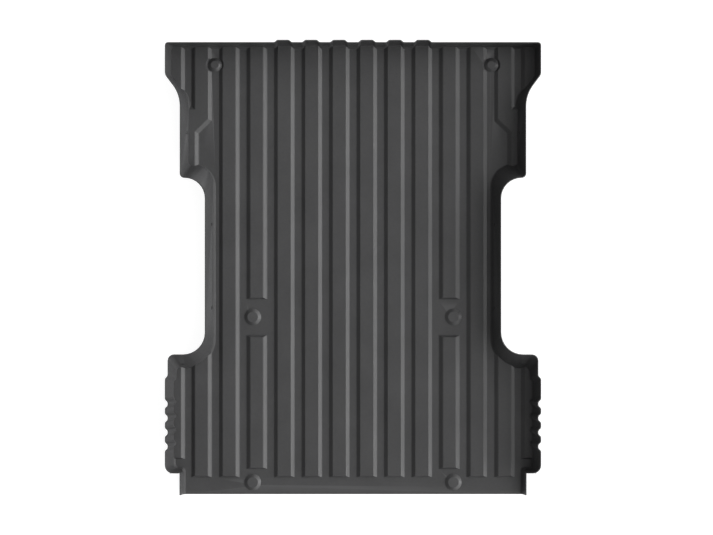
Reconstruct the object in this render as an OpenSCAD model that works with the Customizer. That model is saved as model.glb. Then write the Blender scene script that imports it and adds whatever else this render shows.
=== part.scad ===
// Drop-in liner for a pickup bed: a thin moulded tray with a ribbed floor, low leaning
// walls, wheelhouse recesses, bolt access caps and push-in wall retainers.
// Frame: X across the bed, +Y towards the bulkhead, +Z up, origin on the underside at the
// middle of the outline.

/* [Tray] */
// Overall width across the front and rear pockets, at the rim
tray_w = 1640; // [1400:2:2000]
// Overall length, tailgate edge to the bulkhead humps
tray_l = 1998; // [1900:2:2600]
// Height of the rim above the truck floor
wall_h = 150; // [110:1:200]
// Thickness of the moulded sheet
sheet = 4; // [3:0.25:5]
// Width of the sloped strip between floor and wall, which is as high as a rib
foot = 8; // [5:0.5:9]

/* [Sides] */
// How far the rim of the narrow middle side is inside the widest rim
mid_in = 65; // [40:1:90]
// Lean of the front pocket wall, from floor edge to rim
front_lean = 22; // [15:1:28]
// Lean of the middle side wall
mid_lean = 34; // [20:1:40]
// Lean of the bulkhead
bulkhead_lean = 13; // [12:0.5:20]
// Distance from the bulkhead rim to the middle of the S-shaped step
step_from_front = 185; // [150:1:230]

/* [Wheelhouse recess] */
// How far the rim beside a wheelhouse is inside the widest rim
well_in = 174; // [140:1:200]
// Distance from the bulkhead rim to the recess
well_from_front = 592; // [520:1:640]
// Length of the recess at the rim
well_l = 769; // [700:1:850]
// Radius of the recess corners
well_r = 95; // [60:1:100]
// Lean of the wall beside a wheelhouse
well_lean = 35; // [24:1:45]
// Lean of the walls before and behind a wheelhouse
well_end_lean = 69; // [40:1:75]

/* [Rear pockets] */
// Distance from the tailgate edge to the rear pocket
pocket_from_rear = 108; // [90:1:140]
// Depth of the grooves in the pocket wall
groove_d = 12; // [6:0.5:14]
// Distance between grooves
groove_pitch = 62; // [50:1:70]
// Distance from the tailgate edge to the first groove
groove_from_rear = 225; // [200:1:240]
// Lean of the pocket wall
pocket_lean = 33; // [26:1:40]

/* [Tailgate end] */
// Overall width of the opening at the flange tops
gate_w = 1520; // [1300:2:1900]
// Height of the low flange beside the tailgate
flange_h = 50; // [30:1:70]
// Lean of the flange over its own height
flange_lean = 16; // [8:1:24]

/* [Bulkhead humps] */
// Projection of a hump at the rim
hump_d = 10; // [6:0.5:14]
// Projection of a hump at the floor
hump_floor_d = 6; // [4:0.5:10]
// Number of humps each side of the middle
hump_pairs = 3; // [1:1:4]

/* [Ribs] */
// Distance between rib centres
rib_pitch = 122; // [112:1:150]
// Width of a rib, halfway up its flanks
rib_w = 74; // [60:1:84]
// Height of a rib above the valleys
rib_h = 12; // [8:0.5:16]
// Width of a sloped rib flank
flank = 16; // [10:1:20]
// Width of the steeper slope at a rib's end
rib_end = 7; // [5:1:14]
// Distance from the tailgate edge to the rib ends
rib_from_rear = 78; // [60:1:100]
// Distance from the tailgate edge to the end of the shortened ribs
short_rib_from_rear = 115; // [100:1:140]

/* [Bolt caps] */
// Diameter of the middle and rear caps
cap_d = 74; // [60:1:90]
// Diameter of the front caps
front_cap_d = 62; // [52:1:70]
// Height of a cap above the floor
cap_h = 11; // [8:0.5:14]
// Width of the sloped cap edge
cap_slope = 13; // [8:0.5:15]
// Width of the flat ledge outside the spigot
cap_ledge = 17; // [14:0.5:20]
// Wall thickness of a cap
cap_wall = 3; // [2:0.25:4]
// Radial clearance of the spigot in its hole
cap_gap = 0.3; // [0.2:0.05:0.6]

/* [Wall retainers] */
// Height of the retainers above the truck floor
retainer_z = 45; // [36:1:90]
// Diameter of the sleeve shank
shank_d = 9; // [8:0.5:10]
// Length of shank beyond the outside of the wall
shank_out = 12; // [9:0.5:13]
// Diameter of the sleeve flange
collar_d = 17; // [15:0.5:24]
// Diameter of the pin shaft
pin_d = 5; // [4:0.25:5.5]
// Radial running clearance of the pin in the sleeve
pin_gap = 0.08; // [0.05:0.01:0.1]
// Diameter of the pin head
pin_head_d = 10; // [8:0.5:13]
// Thickness of the pin head
pin_head_t = 1.6; // [1:0.2:4]

/* [Hidden] */
$fn = 64;
eps = 0.01;
seat_gap = 0.2;
plastic = [0.07, 0.07, 0.07];
cap_plastic = [0.09, 0.09, 0.09];

// Lines of the outline, as distances from the middle
front_y = tray_l / 2 - hump_d;
rear_y = -tray_l / 2;
wide_x = tray_w / 2;
mid_x = wide_x - mid_in;
well_x = wide_x - well_in;
well_front_y = front_y - well_from_front;
well_rear_y = well_front_y - well_l;
step_y = front_y - step_from_front;
pocket_y = rear_y + pocket_from_rear;
first_groove_y = rear_y + groove_from_rear;
step_run = 43;
grooves = 4;
groove_end_y = first_groove_y + (grooves - 1) * groove_pitch + 109;
pocket_side_x = wide_x - pocket_lean;
well_floor_x = well_x - well_lean;
flange_floor_x = gate_w / 2 - flange_lean;
flange_rim_x = flange_floor_x + flange_lean * wall_h / flange_h;
hump_half = rib_w / 2;
hump_edge = 11.5;

// One station is [rim point, rim radius, floor point, floor radius, arc steps]
function groove(y) = [
    for (part = [[-19, 0], [-8, 1], [8, 1], [19, 0]])
        [[wide_x - groove_d * part[1], y + part[0]], 8,
         [pocket_side_x - groove_d * part[1], y + part[0]], 10, 1]
];
side_stations = concat(
    [
        [[flange_rim_x, rear_y], 0, [flange_floor_x, rear_y], 0, 0],
        [[flange_rim_x, pocket_y], 10, [flange_floor_x, pocket_y + 13], 16, 3],
        [[wide_x, pocket_y], 35, [pocket_side_x, pocket_y + 13], 14, 5]
    ],
    [for (i = [0:grooves - 1]) each groove(first_groove_y + i * groove_pitch)],
    [
        [[wide_x, groove_end_y], 8, [pocket_side_x, groove_end_y - 26], 10, 1],
        [[wide_x - groove_d, groove_end_y + 14], 8,
         [pocket_side_x - groove_d, groove_end_y - 8], 16, 1],
        [[wide_x - groove_d, well_rear_y], 28,
         [pocket_side_x - groove_d, well_rear_y - well_end_lean], 18, 4],
        [[well_x, well_rear_y], well_r, [well_floor_x, well_rear_y - well_end_lean], 130, 8],
        [[well_x, well_front_y], well_r - 7, [well_floor_x, well_front_y + well_end_lean], 100, 8],
        [[mid_x, well_front_y], 20, [mid_x - mid_lean, well_front_y + well_end_lean], 9, 5],
        [[mid_x, step_y - step_run], 150, [mid_x - mid_lean, step_y - step_run - 1], 124, 6],
        [[wide_x, step_y + step_run], 35, [wide_x - front_lean, step_y + step_run + 11], 25, 4],
        [[wide_x, front_y], 14, [wide_x - front_lean, front_y - bulkhead_lean], 12, 5]
    ],
    [
        for (i = [hump_pairs - 1:-1:0])
            for (part = [[hump_half, 0], [hump_half - hump_edge, 1],
                         [hump_edge - hump_half, 1], [-hump_half, 0]])
                let (x = (i + 0.5) * rib_pitch + part[0])
                [[x, front_y + hump_d * part[1]], 6,
                 [x, front_y - bulkhead_lean + hump_floor_d * part[1]], part[1] == 1 ? 5 : 16, 1]
    ]
);

// The left side is the right side mirrored and walked the other way
function mirrored(s) = [[-s[0][0], s[0][1]], s[1], [-s[2][0], s[2][1]], s[3], s[4]];
stations = concat(
    side_stations,
    [for (i = [len(side_stations) - 1:-1:0]) mirrored(side_stations[i])]
);

function unit(v) = v / norm(v);
function turned(v) = [v[1], -v[0]];

// A corner rounded to radius r, as steps + 1 points from one straight to the next
function corner(before, at, after, r, steps) =
    let (
        back = unit(before - at),
        ahead = unit(after - at),
        swing = acos(-(back * ahead)),
        side = sign(cross(-back, ahead)),
        centre = at + unit(back + ahead) * r / cos(swing / 2),
        start = at + back * r * tan(swing / 2) - centre,
        from = atan2(start[1], start[0])
    )
    [for (i = [0:steps]) centre + r * [cos(from + side * swing * i / steps),
                                      sin(from + side * swing * i / steps)]];

// The rounded loop through the stations; level 0 is the rim and level 2 the floor
function loop(level) = [
    for (i = [0:len(stations) - 1])
        let (
            here = stations[i],
            before = stations[(i + len(stations) - 1) % len(stations)],
            after = stations[(i + 1) % len(stations)]
        )
        each here[4] == 0
            ? [here[level]]
            : corner(before[level], here[level], after[level], here[level + 1], here[4])
];

// A counter-clockwise loop moved inwards by d, with mitred corners
function inset(points, d) = [
    for (i = [0:len(points) - 1])
        let (
            count = len(points),
            a = turned(unit(points[i] - points[(i + count - 1) % count])),
            b = turned(unit(points[(i + 1) % count] - points[i]))
        )
        points[i] - d * (a + b) / (1 + a * b)
];

// The tailgate end of a loop moved back by d
function open_rear(points, d) = [for (p = points) p[1] < rear_y + eps ? [p[0], p[1] - d] : p];

// A rear end that an inset has moved, put back on the tailgate edge
function square_rear(points) = [
    for (i = [0:len(points) - 1])
        (i == 0 || i == len(points) - 1) ? [points[i][0], rear_y] : points[i]
];

// A solid skinned through loops of equal length at rising heights
module skin(loops, heights) {
    count = len(loops[0]);
    last = len(loops) - 1;
    sides = [
        for (k = [0:last - 1])
            for (i = [0:count - 1])
                let (
                    a = k * count + i,
                    b = k * count + (i + 1) % count
                )
                each [[a, a + count, b], [b, a + count, b + count]]
    ];
    polyhedron(
        points = [for (k = [0:last]) for (p = loops[k]) [p[0], p[1], heights[k]]],
        faces = concat(
            sides,
            [[for (i = [0:count - 1]) i]],
            [[for (i = [count - 1:-1:0]) last * count + i]]
        )
    );
}

wall_top = wall_h - sheet - rib_h;
floor_loop = loop(2);
rim_loop = loop(0);

module outside() {
    skin(
        [square_rear(inset(floor_loop, -sheet / 2)),
         square_rear(inset(floor_loop, -foot - sheet)),
         rim_loop],
        [0, rib_h, wall_h]
    );
}

module inside() {
    over = 1;
    top_loop = square_rear(inset(rim_loop, sheet));
    skin(
        [for (l = [floor_loop, square_rear(inset(floor_loop, -foot)), top_loop, top_loop])
            open_rear(l, 20)],
        [sheet, sheet + rib_h, wall_h, wall_h + over]
    );
}

// Floor ribs, as [low x, low y, high x, high y] halfway up their slopes
function bar(x, low, high) = [x - rib_w / 2, low, x + rib_w / 2, high];
function block(b, side, end) = [
    [b[0] - side, b[1] - end], [b[2] + side, b[1] - end],
    [b[2] + side, b[3] + end], [b[0] - side, b[3] + end]
];
function rib_x(i) = (i + 0.5) * rib_pitch;
main_ribs = floor((well_floor_x - rib_w / 2 - flank / 2) / rib_pitch + 0.5);
cap_rib = 3;
cap_x = rib_x(cap_rib) + 18;
middle_cap_y = well_rear_y + 159;
rear_cap_y = rear_y + 53;
front_cap_x = wide_x - 207;
front_cap_y = front_y - 84;
rib_rear_y = rear_y + rib_from_rear;
short_rear_y = rear_y + short_rib_from_rear;
over_front_y = front_y + 40;
over_side_x = wide_x + 20;
side_rib_x = wide_x - 148;
edge_rib_x = wide_x - 66;
ledge_x = mid_x - mid_lean - 28;
ledge_y = front_y - 384;

rib_bars = concat(
    [
        for (i = [0:main_ribs - 1])
            if (i != cap_rib) bar(rib_x(i), rib_rear_y, over_front_y)
    ],
    [
        // the rib that the middle cap's pad interrupts
        bar(rib_x(cap_rib), short_rear_y, middle_cap_y - 85),
        bar(rib_x(cap_rib), middle_cap_y + 82, over_front_y),
        // behind the wheelhouse
        bar(side_rib_x, rib_rear_y, well_rear_y + 40),
        [edge_rib_x, pocket_y + 51, over_side_x, well_rear_y],
        // ahead of it, at the side wall
        [edge_rib_x, step_y - 20, over_side_x, over_front_y]
    ]
);

// The side rib ahead of the wheelhouse becomes a ledge along the wall
ledge_outline = [
    [ledge_x, well_front_y + 40], [mid_x, well_front_y + 40], [mid_x, step_y - 90],
    [side_rib_x + rib_w / 2, step_y - 90], [side_rib_x + rib_w / 2, over_front_y],
    [side_rib_x - rib_w / 2, over_front_y], [side_rib_x - rib_w / 2, ledge_y + 56],
    [ledge_x, ledge_y]
];

module both_sides() {
    children();
    mirror([1, 0, 0]) children();
}

module ribs(low, high) {
    for (b = rib_bars)
        skin([block(b, flank / 2, rib_end / 2), block(b, -flank / 2, -rib_end / 2)], [low, high]);
    skin([inset(ledge_outline, -flank / 2), inset(ledge_outline, flank / 2)], [low, high]);
}

module under_floor() {
    translate([0, 0, -1]) linear_extrude(sheet + rib_h) polygon(inset(floor_loop, 3));
}

// The six places of a bolt cap: [name, x, y, diameter]
caps = [
    ["front", front_cap_x, front_cap_y, front_cap_d],
    ["middle", cap_x, middle_cap_y, cap_d],
    ["rear", cap_x, rear_cap_y, cap_d]
];
function spigot_r(d) = d / 2 - cap_ledge;

// Clears the ribs round each cap, with a sloped side where it cuts one
module cap_rooms(extra, low) {
    for (cap = caps) {
        r = cap[3] / 2 + extra;
        translate([cap[1], cap[2], low]) cylinder(h = rib_h + 2, r1 = r, r2 = r + flank / 2);
    }
}

module cap_holes() {
    for (cap = caps)
        translate([cap[1], cap[2], -1]) cylinder(h = sheet + 2, r = spigot_r(cap[3]) + cap_gap);
}

// Retainer places: [name, outward angle, distance along the wall, floor reach, rim reach]
retainers = [
    ["side", 0, ledge_y - 4, mid_x - mid_lean, mid_x],
    ["wheel_front", 0, well_front_y - 200, well_floor_x, well_x],
    ["wheel_rear", 0, well_rear_y + 200, well_floor_x, well_x],
    ["pocket", 90, -wide_x + 71, well_rear_y - well_end_lean, well_rear_y]
];
function wall_run(r) = r[4] - sheet - r[3] - foot;
function wall_tilt(r) = atan(wall_run(r) / wall_top);
function wall_reach(r) = r[3] + foot + wall_run(r) * (retainer_z - sheet - rib_h) / wall_top;

// A sleeve fills the wall with its neck, and its thinner shank starts just outside
hole_gap = 0.25;
lift = 0.05;
collar_t = 1.8;
neck_d = shank_d + 1;
neck_l = sheet + 1.2;
point_l = 3;
shank_l = neck_l + shank_out;

// Puts a piece on the inner wall face, with its +Z pointing into the tray
module on_wall(r) {
    rotate([0, 0, r[1]])
        translate([wall_reach(r), r[2], retainer_z])
            rotate([0, wall_tilt(r) - 90, 0])
                children();
}

module retainer_holes() {
    for (r = retainers)
        on_wall(r)
            translate([0, 0, -3 * sheet])
                cylinder(h = 4 * sheet, d = neck_d + 2 * hole_gap);
}

// The sheet as it leaves the mould, before its round holes are drilled
module moulded_sheet() {
    difference() {
        outside();
        difference() {
            inside();
            both_sides()
                difference() {
                    ribs(sheet - eps, sheet + rib_h);
                    cap_rooms(1, sheet - 1);
                }
        }
        intersection() {
            under_floor();
            both_sides()
                difference() {
                    ribs(-eps, rib_h);
                    cap_rooms(1 + sheet, -1);
                }
        }
        // the low flange beside the tailgate
        both_sides()
            translate([0, rear_y - 50, flange_h])
                cube([tray_w, pocket_y - rear_y + 50, wall_h]);
    }
}

module liner_shell() {
    color(plastic)
        difference() {
            resize([tray_w, tray_l, wall_h]) moulded_sheet();
            both_sides() {
                cap_holes();
                retainer_holes();
            }
        }
}

module bolt_cap(d) {
    r = d / 2;
    hub = spigot_r(d);
    rise = cap_h - seat_gap;
    translate([0, 0, sheet + seat_gap])
        rotate_extrude()
            polygon([
                [hub - cap_wall, seat_gap - sheet], [hub, seat_gap - sheet], [hub, 0], [r, 0],
                [r, 1.2], [r - cap_slope, rise - 0.8], [r - cap_slope - 1.6, rise],
                [0, rise], [0, rise - cap_wall], [hub - cap_wall - 1, rise - cap_wall],
                [hub - cap_wall, rise - cap_wall - 1]
            ]);
}

module placed_cap(i, side) {
    color(cap_plastic)
        mirror([side < 0 ? 1 : 0, 0, 0])
            translate([caps[i][1], caps[i][2], 0])
                bolt_cap(caps[i][3]);
}

module sleeve() {
    slot_w = 1.2;
    difference() {
        union() {
            translate([0, 0, lift]) cylinder(h = collar_t, d = collar_d);
            translate([0, 0, -neck_l]) cylinder(h = neck_l + lift + eps, d = neck_d);
            translate([0, 0, point_l - shank_l])
                cylinder(h = shank_l - point_l - neck_l + eps, d = shank_d);
            translate([0, 0, -shank_l])
                cylinder(h = point_l, d1 = shank_d - 2.4, d2 = shank_d);
        }
        translate([0, 0, -shank_l - 1])
            cylinder(h = shank_l + collar_t + 2, r = pin_d / 2 + pin_gap);
        translate([-shank_d, -slot_w / 2, -shank_l - 1]) cube([2 * shank_d, slot_w, point_l + 1]);
    }
}

module pin() {
    seat = lift + collar_t + 0.1;
    translate([0, 0, -shank_l + 1]) cylinder(h = shank_l + seat - 1 + eps, d = pin_d);
    translate([0, 0, -shank_l]) cylinder(h = 1, d1 = pin_d - 1, d2 = pin_d);
    translate([0, 0, seat]) cylinder(h = pin_head_t, d = pin_head_d);
}

module placed_sleeve(i, side) {
    color(plastic) mirror([side < 0 ? 1 : 0, 0, 0]) on_wall(retainers[i]) sleeve();
}

module placed_pin(i, side) {
    color(cap_plastic) mirror([side < 0 ? 1 : 0, 0, 0]) on_wall(retainers[i]) pin();
}

liner_shell();
for (i = [0:len(caps) - 1]) {
    placed_cap(i, -1);
    placed_cap(i, 1);
}
for (i = [0:len(retainers) - 1]) {
    placed_sleeve(i, -1);
    placed_sleeve(i, 1);
    placed_pin(i, -1);
    placed_pin(i, 1);
}
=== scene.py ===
import bmesh
import bpy
import math
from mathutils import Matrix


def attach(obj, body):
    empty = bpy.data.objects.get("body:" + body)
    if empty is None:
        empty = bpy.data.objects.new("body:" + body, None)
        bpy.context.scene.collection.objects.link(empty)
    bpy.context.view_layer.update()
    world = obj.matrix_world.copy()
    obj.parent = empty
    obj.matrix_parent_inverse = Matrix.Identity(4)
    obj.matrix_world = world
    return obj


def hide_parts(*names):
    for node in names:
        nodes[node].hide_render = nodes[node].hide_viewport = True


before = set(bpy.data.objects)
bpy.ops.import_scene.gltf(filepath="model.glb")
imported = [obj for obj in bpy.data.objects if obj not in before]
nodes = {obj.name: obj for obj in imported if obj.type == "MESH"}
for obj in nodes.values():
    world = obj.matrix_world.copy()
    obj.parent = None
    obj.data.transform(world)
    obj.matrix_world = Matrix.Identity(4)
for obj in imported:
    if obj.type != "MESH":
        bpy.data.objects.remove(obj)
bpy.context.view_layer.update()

cameraSettings = {
    "height": 8.05,        # metres above the bed floor
    "fieldWidth": 3.166,   # width seen at floor level
    "centre": (0.0153, 0.0066),
    "sensor": 36,
    "farthest": 100,
}


def makeCamera():
    data = bpy.data.cameras.new("topCamera")
    data.sensor_width = cameraSettings["sensor"]
    data.lens = cameraSettings["sensor"] * cameraSettings["height"] / cameraSettings["fieldWidth"]
    data.clip_end = cameraSettings["farthest"]
    camera = bpy.data.objects.new("topCamera", data)
    x, y = cameraSettings["centre"]
    camera.location = (x, y, cameraSettings["height"])   # looks straight down, +Y at the top
    bpy.context.scene.collection.objects.link(camera)
    bpy.context.scene.camera = camera
    print("camera placed")


lightSettings = {
    "domeBase": 0.28,       # even light from all round
    "domeRight": 3.2,       # extra towards the tray's right, falling off to nothing overhead
    "domeLeft": 0.02,       # a little fill from the left
    "sunPower": 0.75,
    "sunElevation": 12,     # degrees
    "sunSpread": 20,
}


def makeDome():
    world = bpy.data.worlds.new("studio")
    world.use_nodes = True
    tree = world.node_tree
    direction = tree.nodes.new("ShaderNodeTexCoord")
    split = tree.nodes.new("ShaderNodeSeparateXYZ")
    tree.links.new(direction.outputs["Generated"], split.inputs["Vector"])

    def oneSide(sign, strength):
        turned = tree.nodes.new("ShaderNodeMath")
        turned.operation = "MULTIPLY"
        turned.inputs[1].default_value = sign * strength
        tree.links.new(split.outputs["X"], turned.inputs[0])
        kept = tree.nodes.new("ShaderNodeMath")
        kept.operation = "MAXIMUM"
        kept.inputs[1].default_value = 0
        tree.links.new(turned.outputs[0], kept.inputs[0])
        return kept.outputs[0]

    sides = tree.nodes.new("ShaderNodeMath")
    sides.operation = "ADD"
    tree.links.new(oneSide(1, lightSettings["domeRight"]), sides.inputs[0])
    tree.links.new(oneSide(-1, lightSettings["domeLeft"]), sides.inputs[1])
    total = tree.nodes.new("ShaderNodeMath")
    total.operation = "ADD"
    total.inputs[1].default_value = lightSettings["domeBase"]
    tree.links.new(sides.outputs[0], total.inputs[0])
    backdrop = tree.nodes["Background"]
    backdrop.inputs["Color"].default_value = (1, 1, 1, 1)
    tree.links.new(total.outputs[0], backdrop.inputs["Strength"])
    bpy.context.scene.world = world


def makeSideSun():
    data = bpy.data.lights.new("sideSun", "SUN")
    data.energy = lightSettings["sunPower"]
    data.angle = math.radians(lightSettings["sunSpread"])
    data.use_shadow = False   # a faint grazing fill that walls don't stop
    sun = bpy.data.objects.new("sideSun", data)
    sun.rotation_euler = (0, math.radians(90 - lightSettings["sunElevation"]), 0)
    bpy.context.scene.collection.objects.link(sun)


floorSettings = {
    "size": 60,
    "level": -0.0005,   # just under the tray
    "colour": (0.3, 0.3, 0.3, 1),
    "glow": 0.9,
}


def makeStudio():
    makeDome()
    makeSideSun()
    bpy.context.scene.view_settings.view_transform = "Standard"
    bpy.context.scene.view_settings.look = "None"

    centre = (0, 0, floorSettings["level"])
    bpy.ops.mesh.primitive_plane_add(size=floorSettings["size"], location=centre)
    floor = bpy.context.object
    floor.name = "studioFloor"
    material = bpy.data.materials.new("paleFloor")
    material.use_nodes = True
    shader = material.node_tree.nodes["Principled BSDF"]
    shader.inputs["Base Color"].default_value = floorSettings["colour"]
    shader.inputs["Roughness"].default_value = 1
    shader.inputs["Specular IOR Level"].default_value = 0
    shader.inputs["Emission Color"].default_value = (1, 1, 1, 1)
    shader.inputs["Emission Strength"].default_value = floorSettings["glow"]
    floor.data.materials.append(material)
    print("studio placed")


plasticLook = {
    "ior": 1.49,
    "cloudDetail": 4,
    "mottleDetail": 5,
    "mottleShare": 0.12,         # of the grain's scale
    "mottleShade": (0.90, 1.10),
    "wearPointiness": (0.52, 0.60),
    "wearAmount": 0.6,
    "pebbleSmoothness": 0.6,
    "waveStrength": 0.35,
    "grainStrength": 0.8,
}


def makePlastic(name, finish):
    material = bpy.data.materials.new(name)
    material.use_nodes = True
    tree = material.node_tree
    shader = tree.nodes["Principled BSDF"]
    shader.inputs["IOR"].default_value = plasticLook["ior"]
    place = tree.nodes.new("ShaderNodeTexCoord")

    def noise(scale, detail, roughness=0.55):
        node = tree.nodes.new("ShaderNodeTexNoise")
        node.inputs["Scale"].default_value = scale
        node.inputs["Detail"].default_value = detail
        node.inputs["Roughness"].default_value = roughness
        tree.links.new(place.outputs["Object"], node.inputs["Vector"])
        return node

    def ramp(source, low, high, start=0.3, end=0.7):
        node = tree.nodes.new("ShaderNodeMapRange")
        node.inputs["From Min"].default_value = start
        node.inputs["From Max"].default_value = end
        node.inputs["To Min"].default_value = low
        node.inputs["To Max"].default_value = high
        tree.links.new(source, node.inputs["Value"])
        return node.outputs["Result"]

    def mix(factor, first, second):
        node = tree.nodes.new("ShaderNodeMix")
        node.data_type = "RGBA"
        tree.links.new(factor, node.inputs["Factor"])
        for socket, value in ((node.inputs[6], first), (node.inputs[7], second)):
            if isinstance(value, tuple):
                socket.default_value = (*value, 1)
            else:
                tree.links.new(value, socket)
        return node.outputs[2]

    # slow changes of shade across the moulding, and a fine mottle
    cloud = noise(finish["waveSize"], plasticLook["cloudDetail"])
    mottleScale = finish["grainSize"] * plasticLook["mottleShare"]
    mottle = noise(mottleScale, plasticLook["mottleDetail"])
    colour = mix(ramp(cloud.outputs["Fac"], 0, 1), finish["colour"], finish["paleColour"])
    speckle = tree.nodes.new("ShaderNodeMix")
    speckle.data_type = "RGBA"
    speckle.blend_type = "MULTIPLY"
    speckle.inputs["Factor"].default_value = 1
    tree.links.new(colour, speckle.inputs[6])
    shade = tree.nodes.new("ShaderNodeCombineColor")
    level = ramp(mottle.outputs["Fac"], *plasticLook["mottleShade"])
    for channel in ("Red", "Green", "Blue"):
        tree.links.new(level, shade.inputs[channel])
    tree.links.new(shade.outputs["Color"], speckle.inputs[7])

    # worn, slightly paler edges
    geometry = tree.nodes.new("ShaderNodeNewGeometry")
    wearFrom, wearTo = plasticLook["wearPointiness"]
    edge = ramp(geometry.outputs["Pointiness"], 0, plasticLook["wearAmount"], wearFrom, wearTo)
    worn = mix(edge, speckle.outputs[2], finish["edgeColour"])
    tree.links.new(worn, shader.inputs["Base Color"])

    low, high = finish["roughness"]
    tree.links.new(ramp(mottle.outputs["Fac"], low, high), shader.inputs["Roughness"])

    # pebble grain over a gentle waviness of the sheet
    pebble = tree.nodes.new("ShaderNodeTexVoronoi")
    pebble.feature = "SMOOTH_F1"
    pebble.inputs["Scale"].default_value = finish["grainSize"]
    pebble.inputs["Smoothness"].default_value = plasticLook["pebbleSmoothness"]
    tree.links.new(place.outputs["Object"], pebble.inputs["Vector"])
    waves = tree.nodes.new("ShaderNodeBump")
    waves.inputs["Strength"].default_value = plasticLook["waveStrength"]
    waves.inputs["Distance"].default_value = finish["waveDepth"]
    tree.links.new(cloud.outputs["Fac"], waves.inputs["Height"])
    grain = tree.nodes.new("ShaderNodeBump")
    grain.inputs["Strength"].default_value = plasticLook["grainStrength"]
    grain.inputs["Distance"].default_value = finish["grainDepth"]
    tree.links.new(pebble.outputs["Distance"], grain.inputs["Height"])
    tree.links.new(waves.outputs["Normal"], grain.inputs["Normal"])
    tree.links.new(grain.outputs["Normal"], shader.inputs["Normal"])
    return material


def paint(thing, material):
    thing.data.materials.clear()
    thing.data.materials.append(material)


trayShape = {
    "sheet": 0.004,          # thickness, and so the level of the floor between the ribs
    "largestRound": 0.009,   # the other rounds are shares of this one
    "wallBaseRound": 0.009,  # where a rib top meets a wall
    "footRound": 0.005,
    "wallBendRound": 0.0035,
    "ribRound": 0.0035,
    "roundSteps": 3,
    "widthShare": 0.42,      # how much of a narrow face one of its two rounds may take
    "gentleBend": 19,        # degrees, and anything flatter stays as it is
    "levelWithin": 0.0003,
    "smallestFace": 0.000008,   # square metres, and anything smaller is a drilled hole
    "lookAcrossAt": (0.03, 0.5, 0.97),   # shares of an edge's length
    "touching": 0.000001,
    "cornerSine": 0.4,       # sine of the turn that counts as a corner
    "runOnCosine": -0.85,    # cosine between two edges that are one line
    "longFaceCorners": 200,
    "smoothAngle": 40,
}
# how far up a face looks, from 1 for straight up to -1 for straight down
facing = {"flat": 0.999, "wall": 0.5, "steep": 0.62, "leaning": 0.7, "down": -0.1}


def roomBeside(edge, face):
    # the shortest way across the face, square to the edge, at both ends and the middle
    loop = next(loop for loop in edge.link_loops if loop.face == face)
    start, end = loop.vert.co, loop.link_loop_next.vert.co
    along = (end - start).normalized()
    inward = face.normal.cross(along)
    nearest = math.inf
    for share in trayShape["lookAcrossAt"]:
        spot = start.lerp(end, share)
        for other in face.edges:
            if other == edge:
                continue
            first, second = (corner.co - spot for corner in other.verts)
            behind, ahead = first.dot(along), second.dot(along)
            if behind * ahead > 0 or behind == ahead:
                continue
            part = behind / (behind - ahead)
            gap = first.lerp(second, part).dot(inward)
            if gap > trayShape["touching"]:
                nearest = min(nearest, gap)
    return nearest


def chooseRound(edge):
    first, second = edge.link_faces
    if edge.calc_face_angle(0) < math.radians(trayShape["gentleBend"]):
        return 0
    if min(first.calc_area(), second.calc_area()) < trayShape["smallestFace"]:
        return 0   # the drilled holes stay sharp
    flatter, steeper = sorted((first, second), key=lambda face: -abs(face.normal.z))
    levels = [corner.co.z for corner in edge.verts]
    isLevel = max(levels) - min(levels) < trayShape["levelWithin"]
    outside = abs(flatter.normal.z) < facing["leaning"] and steeper.normal.z < facing["down"]
    if outside or flatter.normal.z < facing["down"]:
        return 0   # the underside and the outside stay sharp
    if isLevel and flatter.normal.z > facing["flat"] and steeper.normal.z < facing["wall"]:
        onRib = levels[0] > trayShape["sheet"] * 1.5
        wanted = trayShape["wallBaseRound"] if onRib else trayShape["footRound"]
    elif steeper.normal.z < facing["steep"] and flatter.normal.z < facing["leaning"]:
        wanted = trayShape["wallBendRound"]
    else:
        wanted = trayShape["ribRound"]
    room = min(roomBeside(edge, first), roomBeside(edge, second))
    return min(wanted, room * trayShape["widthShare"])


def leaveRoomAtCorners(rounds, widths):
    for face in rounds.faces:
        for loop in face.loops:
            before, after = loop.link_loop_prev.edge, loop.edge
            sideways = math.sin(loop.calc_angle())
            if sideways < trayShape["cornerSine"]:
                continue
            share = trayShape["widthShare"] * sideways
            widths[before] = min(widths[before], after.calc_length() * share)
            widths[after] = min(widths[after], before.calc_length() * share)


def matchRunningEdges(rounds, widths):
    # edges that run on into each other share one width, the smallest of them
    leader = {edge: edge for edge in rounds.edges}

    def findLeader(edge):
        while leader[edge] != edge:
            edge = leader[edge]
        return edge

    for corner in rounds.verts:
        rounded = [edge for edge in corner.link_edges if widths[edge] > 0]
        for place, first in enumerate(rounded):
            for second in rounded[place + 1:]:
                one = (first.other_vert(corner).co - corner.co).normalized()
                two = (second.other_vert(corner).co - corner.co).normalized()
                if one.dot(two) < trayShape["runOnCosine"]:
                    one, two = findLeader(first), findLeader(second)
                    leader[one] = two
    smallest = {}
    for edge in rounds.edges:
        group = findLeader(edge)
        smallest[group] = min(smallest.get(group, math.inf), widths[edge])
    for edge in rounds.edges:
        widths[edge] = smallest[findLeader(edge)]


meshCleaning = {"mergeDistance": 0.00002, "flatAngle": 0.6}   # metres and degrees


def copyOfNode(nodeName, pieceName):
    bpy.ops.object.select_all(action="DESELECT")
    source = nodes[nodeName]
    piece = source.copy()
    piece.data = source.data.copy()
    piece.name = pieceName
    for key in list(piece.keys()):
        del piece[key]
    piece.parent = None
    bpy.context.scene.collection.objects.link(piece)
    bpy.context.view_layer.objects.active = piece
    piece.select_set(True)
    bpy.ops.object.mode_set(mode="EDIT")
    bpy.ops.mesh.select_all(action="SELECT")
    bpy.ops.mesh.remove_doubles(threshold=meshCleaning["mergeDistance"])
    bpy.ops.mesh.dissolve_limited(angle_limit=math.radians(meshCleaning["flatAngle"]))
    bpy.ops.object.mode_set(mode="OBJECT")
    return piece


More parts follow.
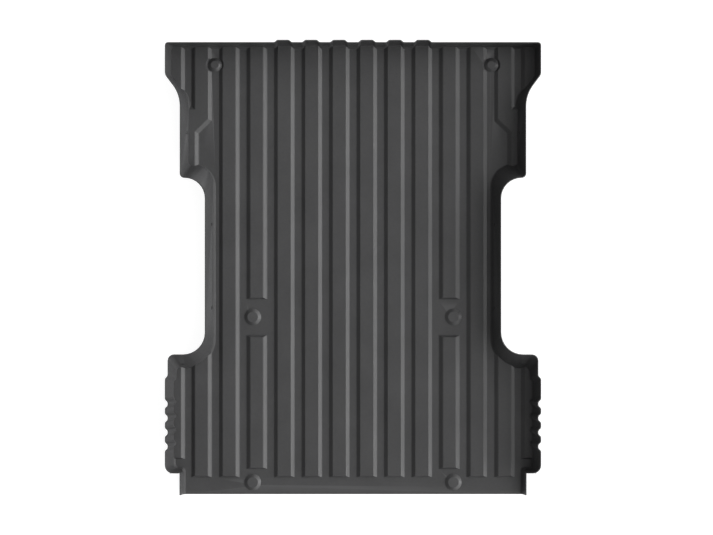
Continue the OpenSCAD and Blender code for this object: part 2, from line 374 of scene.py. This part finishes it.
def evenShading(piece, angle):
    bpy.ops.object.shade_smooth_by_angle(angle=math.radians(angle))
    weights = piece.modifiers.new("evenNormals", "WEIGHTED_NORMAL")
    weights.keep_sharp = True
    weights.weight = 100
    bpy.ops.object.modifier_apply(modifier=weights.name)


def makeTray(material):
    tray = copyOfNode("liner_shell", "tray")

    # each edge gets the round that its place on the moulding has
    rounds = bmesh.new()
    rounds.from_mesh(tray.data)
    weight = rounds.edges.layers.float.new("bevel_weight_edge")
    widths = {edge: chooseRound(edge) for edge in rounds.edges}
    leaveRoomAtCorners(rounds, widths)
    matchRunningEdges(rounds, widths)
    for edge in rounds.edges:
        edge[weight] = widths[edge] / trayShape["largestRound"]
    # the long rim and floor faces are split, so that no round can fold them over
    longFaces = [face for face in rounds.faces if len(face.verts) > trayShape["longFaceCorners"]]
    bmesh.ops.triangulate(rounds, faces=longFaces)
    rounds.to_mesh(tray.data)
    rounds.free()
    bevel = tray.modifiers.new("mouldRounds", "BEVEL")
    bevel.width = trayShape["largestRound"]
    bevel.segments = trayShape["roundSteps"]
    bevel.limit_method = "WEIGHT"
    bevel.use_clamp_overlap = False
    bevel.miter_outer = "MITER_SHARP"
    bpy.ops.object.modifier_apply(modifier=bevel.name)
    evenShading(tray, trayShape["smoothAngle"])
    paint(tray, material)
    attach(tray, "liner")
    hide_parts("liner_shell")
    print("tray made:", len(tray.data.polygons), "faces")


smallPartBevel = {"sharpAngle": 28, "smoothAngle": 35}   # degrees
smallPartShape = {
    "bolt_cap": {"round": 0.0016, "steps": 3, "slot": "moulded_cap"},
    "sleeve": {"round": 0.0006, "steps": 2, "slot": "retainer_plastic"},
    "pin": {"round": 0.0007, "steps": 3, "slot": "retainer_plastic"},
}


def makeSmallPart(nodeName, body, shape, material):
    piece = copyOfNode(nodeName, nodeName + "_finish")
    bevel = piece.modifiers.new("softEdges", "BEVEL")
    bevel.width = shape["round"]
    bevel.segments = shape["steps"]
    bevel.limit_method = "ANGLE"
    bevel.angle_limit = math.radians(smallPartBevel["sharpAngle"])
    bevel.use_clamp_overlap = True
    bpy.ops.object.modifier_apply(modifier=bevel.name)
    evenShading(piece, smallPartBevel["smoothAngle"])
    paint(piece, material)
    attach(piece, body)
    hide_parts(nodeName)


def makeSmallParts(capPlastic, retainerPlastic):
    made = 0
    for name in list(nodes):
        for kind, shape in smallPartShape.items():
            if name.startswith(kind):
                body = "liner" if kind == "sleeve" else name
                material = capPlastic if kind == "bolt_cap" else retainerPlastic
                makeSmallPart(name, body, shape, material)
                made += 1
    print("small parts made:", made)


sheetFinish = {
    "colour": (0.040, 0.040, 0.041),
    "paleColour": (0.050, 0.050, 0.051),
    "roughness": (0.42, 0.56),
    "grainSize": 900, "grainDepth": 0.00012,
    "waveSize": 5.0, "waveDepth": 0.0006,
    "edgeColour": (0.085, 0.085, 0.087),
}
capFinish = {
    "colour": (0.043, 0.043, 0.044),
    "paleColour": (0.052, 0.052, 0.053),
    "roughness": (0.34, 0.46),
    "grainSize": 1500, "grainDepth": 0.00005,
    "waveSize": 14.0, "waveDepth": 0.0001,
    "edgeColour": (0.095, 0.095, 0.097),
}
retainerFinish = {
    "colour": (0.028, 0.028, 0.029),
    "paleColour": (0.036, 0.036, 0.037),
    "roughness": (0.30, 0.42),
    "grainSize": 2500, "grainDepth": 0.00002,
    "waveSize": 40.0, "waveDepth": 0.00004,
    "edgeColour": (0.07, 0.07, 0.072),
}

makeCamera()
makeStudio()
makeTray(makePlastic("mouldedSheet", sheetFinish))
capPlastic = makePlastic("mouldedCap", capFinish)
retainerPlastic = makePlastic("retainerPlastic", retainerFinish)
makeSmallParts(capPlastic, retainerPlastic)
